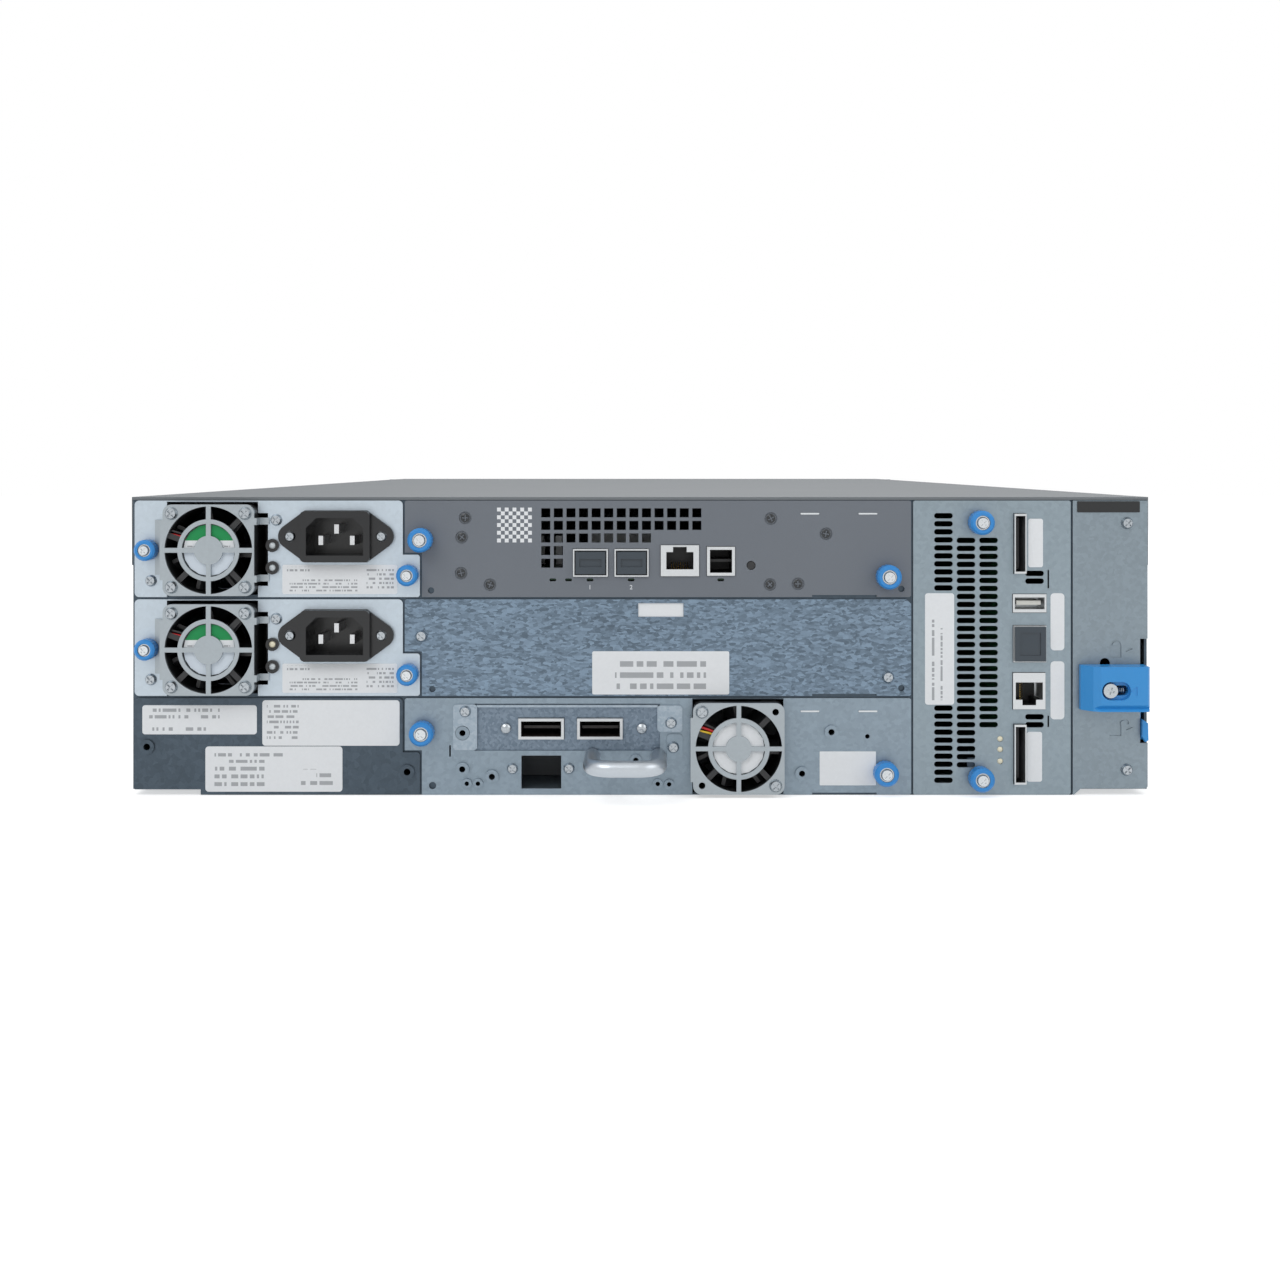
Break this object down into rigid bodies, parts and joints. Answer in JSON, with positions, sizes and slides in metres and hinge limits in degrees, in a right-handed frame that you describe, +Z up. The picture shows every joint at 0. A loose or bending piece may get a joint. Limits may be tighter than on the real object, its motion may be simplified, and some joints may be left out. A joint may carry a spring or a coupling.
{
  "type": "data tape library",
  "caption": "Rack-mount tape library with slide-out power, drive, bridge and controller modules, cartridge magazines, a lift-and-turn robot and a transport lock.",
  "frame": {"origin": "middle of the footprint, on the surface that the chassis stands on", "axes": "+X right as seen from the rear connector side, +Y from the rear plates to the front bezel, +Z up"},
  "size_m": [0.475, 0.884, 0.131],
  "materials": {
    "zinc_sheet": "galvanised sheet steel with a fine spangle",
    "plate_sheet": "pale galvanised sheet steel, satin",
    "cover_sheet": "smooth satin grey sheet",
    "bay_cover_sheet": "galvanised sheet steel with a visible spangle",
    "bridge_paint": "fine textured dark grey paint",
    "guard_steel": "plated stamped steel",
    "screw_steel": "bright zinc-plated steel",
    "handle_steel": "satin metal bar",
    "port_metal": "bright tinned shielding",
    "spring_steel": "spring steel wire",
    "drive_metal": "grey drive housing",
    "circuit_board": "green circuit board",
    "bezel_plastic": "black moulded plastic",
    "panel_plastic": "dark operator panel",
    "button_plastic": "pale button",
    "black_plastic": "black moulded plastic",
    "rotor_plastic": "black fan blades",
    "plug_plastic": "dark grey dust plug",
    "blue_knob": "blue plastic knob with a plated screw",
    "blue_plastic": "blue moulded plastic",
    "magazine_plastic": "dark grey moulded plastic",
    "cartridge_plastic": "dark cartridge shell",
    "robot_metal": "satin aluminium",
    "picker_plastic": "dark grey moulded plastic",
    "gripper_plastic": "amber moulded plastic"
  },
  "bodies": {
    "chassis": {"base_chassis": "zinc_sheet", "top_cover": "cover_sheet", "rear_frame": "zinc_sheet", "inner_frame": "zinc_sheet", "bay_cover": "bay_cover_sheet", "lock_panel": "plate_sheet", "front_bezel": "bezel_plastic", "operator_panel": "panel_plastic", "backplane": "circuit_board", "chassis_screws": "screw_steel"},
    "psu_1": {"psu_1_case": "plate_sheet", "psu_1_inlet": "black_plastic", "psu_1_fan_frame": "black_plastic", "psu_1_fan_guard": "guard_steel", "psu_1_screws": "screw_steel"},
    "psu_2": {"psu_2_case": "plate_sheet", "psu_2_inlet": "black_plastic", "psu_2_fan_frame": "black_plastic", "psu_2_fan_guard": "guard_steel", "psu_2_screws": "screw_steel"},
    "bridge": {"bridge_case": "bridge_paint", "bridge_board": "port_metal"},
    "sled": {"sled_case": "plate_sheet", "sas_bracket": "zinc_sheet", "tape_drive": "drive_metal", "sled_handle": "handle_steel", "sled_fan_frame": "black_plastic", "sled_fan_guard": "guard_steel", "sled_screws": "screw_steel"},
    "controller": {"controller_panel": "plate_sheet", "controller_board": "port_metal"},
    "lock_carriage": {"lock_carriage": "blue_plastic"},
    "lock_slider": {"lock_slider": "blue_plastic", "lock_spring": "spring_steel"},
    "magazine_left": {"magazine_left": "magazine_plastic", "cartridges_left": "cartridge_plastic"},
    "magazine_right": {"magazine_right": "magazine_plastic", "cartridges_right": "cartridge_plastic"},
    "robot_lift": {"robot_lift": "robot_metal"},
    "robot_carriage": {"robot_carriage": "robot_metal"},
    "robot_picker": {"robot_picker": "picker_plastic"},
    "robot_gripper": {"robot_gripper": "gripper_plastic"},
    "power_button": {"power_button": "button_plastic"},
    "reset_button": {"reset_button": "black_plastic"},
    "sfp_plug_1": {"sfp_plug_1": "plug_plastic"},
    "sfp_plug_2": {"sfp_plug_2": "plug_plastic"},
    "diag_plug": {"diag_plug": "plug_plastic"},
    "psu_1_fan_rotor": {"psu_1_fan_rotor": "rotor_plastic"},
    "psu_2_fan_rotor": {"psu_2_fan_rotor": "rotor_plastic"},
    "sled_fan_rotor": {"sled_fan_rotor": "rotor_plastic"},
    "psu_1_thumbscrew_left": {"psu_1_thumbscrew_left": "blue_knob"},
    "psu_1_thumbscrew_right": {"psu_1_thumbscrew_right": "blue_knob"},
    "psu_2_thumbscrew_left": {"psu_2_thumbscrew_left": "blue_knob"},
    "psu_2_thumbscrew_right": {"psu_2_thumbscrew_right": "blue_knob"},
    "bridge_thumbscrew_left": {"bridge_thumbscrew_left": "blue_knob"},
    "bridge_thumbscrew_right": {"bridge_thumbscrew_right": "blue_knob"},
    "sled_thumbscrew_left": {"sled_thumbscrew_left": "blue_knob"},
    "sled_thumbscrew_right": {"sled_thumbscrew_right": "blue_knob"},
    "controller_thumbscrew_top": {"controller_thumbscrew_top": "blue_knob"},
    "controller_thumbscrew_bottom": {"controller_thumbscrew_bottom": "blue_knob"}
  },
  "joints": [
    {"name": "psu_1_slide", "type": "slide", "parent": "chassis", "child": "psu_1", "axis": [0, -1, 0], "range_m": [0, 0.26]},
    {"name": "psu_1_fan_spin", "type": "hinge", "parent": "psu_1", "child": "psu_1_fan_rotor", "pos_m": [-0.1878, -0.403, 0.108], "axis": [0, -1, 0], "continuous": true},
    {"name": "psu_2_slide", "type": "slide", "parent": "chassis", "child": "psu_2", "axis": [0, -1, 0], "range_m": [0, 0.26]},
    {"name": "psu_2_fan_spin", "type": "hinge", "parent": "psu_2", "child": "psu_2_fan_rotor", "pos_m": [-0.1878, -0.403, 0.0646], "axis": [0, -1, 0], "continuous": true},
    {"name": "bridge_slide", "type": "slide", "parent": "chassis", "child": "bridge", "axis": [0, -1, 0], "range_m": [0, 0.27]},
    {"name": "sfp_plug_1_pull", "type": "slide", "parent": "bridge", "child": "sfp_plug_1", "axis": [0, -1, 0], "range_m": [0, 0.03]},
    {"name": "sfp_plug_2_pull", "type": "slide", "parent": "bridge", "child": "sfp_plug_2", "axis": [0, -1, 0], "range_m": [0, 0.03]},
    {"name": "reset_press", "type": "slide", "parent": "bridge", "child": "reset_button", "axis": [0, 1, 0], "range_m": [0, 0.0012], "stiffness_N_per_m": 300},
    {"name": "sled_slide", "type": "slide", "parent": "chassis", "child": "sled", "axis": [0, -1, 0], "range_m": [0, 0.27]},
    {"name": "sled_fan_spin", "type": "hinge", "parent": "sled", "child": "sled_fan_rotor", "pos_m": [0.043, -0.403, 0.0216], "axis": [0, -1, 0], "continuous": true},
    {"name": "controller_slide", "type": "slide", "parent": "chassis", "child": "controller", "axis": [0, -1, 0], "range_m": [0, 0.23]},
    {"name": "diag_plug_pull", "type": "slide", "parent": "controller", "child": "diag_plug", "axis": [0, -1, 0], "range_m": [0, 0.03]},
    {"name": "psu_1_thumbscrew_left_turn", "type": "hinge", "parent": "psu_1", "child": "psu_1_thumbscrew_left", "pos_m": [-0.2158, -0.412, 0.1079], "axis": [0, -1, 0], "continuous": true},
    {"name": "psu_1_thumbscrew_right_turn", "type": "hinge", "parent": "psu_1", "child": "psu_1_thumbscrew_right", "pos_m": [-0.1016, -0.412, 0.0969], "axis": [0, -1, 0], "continuous": true},
    {"name": "psu_2_thumbscrew_left_turn", "type": "hinge", "parent": "psu_2", "child": "psu_2_thumbscrew_left", "pos_m": [-0.2158, -0.412, 0.0645], "axis": [0, -1, 0], "continuous": true},
    {"name": "psu_2_thumbscrew_right_turn", "type": "hinge", "parent": "psu_2", "child": "psu_2_thumbscrew_right", "pos_m": [-0.1016, -0.412, 0.0535], "axis": [0, -1, 0], "continuous": true},
    {"name": "bridge_thumbscrew_left_turn", "type": "hinge", "parent": "bridge", "child": "bridge_thumbscrew_left", "pos_m": [-0.096, -0.412, 0.1123], "axis": [0, -1, 0], "continuous": true},
    {"name": "bridge_thumbscrew_right_turn", "type": "hinge", "parent": "bridge", "child": "bridge_thumbscrew_right", "pos_m": [0.1087, -0.412, 0.0962], "axis": [0, -1, 0], "continuous": true},
    {"name": "sled_thumbscrew_left_turn", "type": "hinge", "parent": "sled", "child": "sled_thumbscrew_left", "pos_m": [-0.0954, -0.412, 0.0278], "axis": [0, -1, 0], "continuous": true},
    {"name": "sled_thumbscrew_right_turn", "type": "hinge", "parent": "sled", "child": "sled_thumbscrew_right", "pos_m": [0.1075, -0.412, 0.0102], "axis": [0, -1, 0], "continuous": true},
    {"name": "controller_thumbscrew_top_turn", "type": "hinge", "parent": "controller", "child": "controller_thumbscrew_top", "pos_m": [0.1492, -0.412, 0.1199], "axis": [0, -1, 0], "continuous": true},
    {"name": "controller_thumbscrew_bottom_turn", "type": "hinge", "parent": "controller", "child": "controller_thumbscrew_bottom", "pos_m": [0.1492, -0.412, 0.0078], "axis": [0, -1, 0], "continuous": true},
    {"name": "lock_carriage_slide", "type": "slide", "parent": "chassis", "child": "lock_carriage", "axis": [0, 0, 1], "range_m": [0, 0.011]},
    {"name": "lock_block_push", "type": "slide", "parent": "lock_carriage", "child": "lock_slider", "axis": [-1, 0, 0], "range_m": [0, 0.004], "stiffness_N_per_m": 400, "deforming": ["lock_spring"]},
    {"name": "magazine_left_slide", "type": "slide", "parent": "chassis", "child": "magazine_left", "axis": [0, 1, 0], "range_m": [0, 0.54]},
    {"name": "magazine_right_slide", "type": "slide", "parent": "chassis", "child": "magazine_right", "axis": [0, 1, 0], "range_m": [0, 0.54]},
    {"name": "robot_lift_slide", "type": "slide", "parent": "chassis", "child": "robot_lift", "axis": [0, 0, 1], "range_m": [0, 0.0795]},
    {"name": "robot_carriage_slide", "type": "slide", "parent": "robot_lift", "child": "robot_carriage", "axis": [0, 1, 0], "range_m": [0, 0.432]},
    {"name": "robot_picker_turn", "type": "hinge", "parent": "robot_carriage", "child": "robot_picker", "pos_m": [0, -0.087, 0.02], "axis": [0, 0, 1], "range_deg": [-90, 90]},
    {"name": "robot_gripper_reach", "type": "slide", "parent": "robot_picker", "child": "robot_gripper", "axis": [0, -1, 0], "range_m": [0, 0.022]},
    {"name": "power_press", "type": "slide", "parent": "chassis", "child": "power_button", "axis": [0, -1, 0], "range_m": [0, 0.0012], "stiffness_N_per_m": 400}
  ]
}
